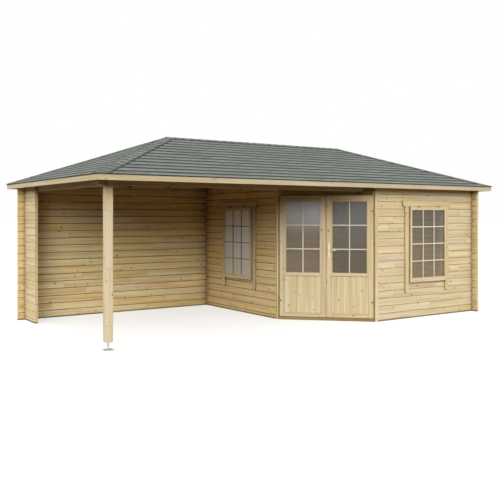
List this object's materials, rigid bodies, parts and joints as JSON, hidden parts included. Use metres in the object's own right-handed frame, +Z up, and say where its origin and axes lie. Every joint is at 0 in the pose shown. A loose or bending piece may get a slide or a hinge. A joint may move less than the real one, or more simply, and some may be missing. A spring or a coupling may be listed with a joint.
{
  "type": "log cabin",
  "caption": "Corner log cabin with glazed double doors and an open post-and-beam canopy under one shingled hipped roof.",
  "frame": {"origin": "on the ground at the middle of the roof's plan", "axes": "+X along the ridge from the canopy to the cabin, +Y from the front to the rear, +Z up"},
  "size_m": [7.02, 3.694, 2.7848],
  "materials": {
    "logs": "planed natural pine logs, grooved at each joint",
    "joinery": "planed natural pine",
    "canopy_timber": "planed natural pine",
    "roof_boards": "planed pine boards, tongued and grooved",
    "fascia": "planed natural pine",
    "shingles": "grey-green mineral grit on bitumen felt",
    "floor": "planed pine boards",
    "glass": "clear float glass",
    "hardware": "satin steel",
    "galvanised_steel": "zinc-coated steel"
  },
  "bodies": {
    "cabin": {"rear_wall": "logs", "end_return_wall": "logs", "cabin_left_wall": "logs", "cabin_front_wall": "logs", "cabin_right_wall": "logs", "door_header_wall": "logs", "corner_posts": "joinery", "door_jambs": "joinery", "door_head": "joinery", "door_threshold": "joinery", "front_window_lining": "joinery", "front_window_sash": "joinery", "front_window_casing": "joinery", "side_window_lining": "joinery", "side_window_sash": "joinery", "side_window_casing": "joinery", "canopy_post": "canopy_timber", "front_beam": "canopy_timber", "side_beam": "canopy_timber", "ridge_beam": "canopy_timber", "rafters": "canopy_timber", "front_roof_boards": "roof_boards", "rear_roof_boards": "roof_boards", "left_roof_boards": "roof_boards", "right_roof_boards": "roof_boards", "front_fascia": "fascia", "rear_fascia": "fascia", "left_fascia": "fascia", "right_fascia": "fascia", "front_shingles": "shingles", "rear_shingles": "shingles", "left_shingles": "shingles", "right_shingles": "shingles", "ridge_and_hip_caps": "shingles", "floor_boards": "floor", "floor_bearers": "floor", "front_window_glass": "glass", "side_window_glass": "glass", "frame_hinges": "hardware", "post_foot": "galvanised_steel"},
    "left_door": {"left_door_frame": "joinery", "left_door_panel": "joinery", "left_door_glass": "glass", "left_door_hinges": "hardware"},
    "right_door": {"right_door_frame": "joinery", "right_door_panel": "joinery", "right_door_glass": "glass", "right_door_hinges": "hardware", "door_handles": "hardware"}
  },
  "joints": [
    {"name": "left_door_swing", "type": "hinge", "parent": "cabin", "child": "left_door", "pos_m": [-0.01972, -0.58093, 0], "axis": [0, 0, -1], "range_deg": [0, 150]},
    {"name": "right_door_swing", "type": "hinge", "parent": "cabin", "child": "right_door", "pos_m": [1.01407, -1.61472, 0], "axis": [0, 0, 1], "range_deg": [0, 150]}
  ]
}
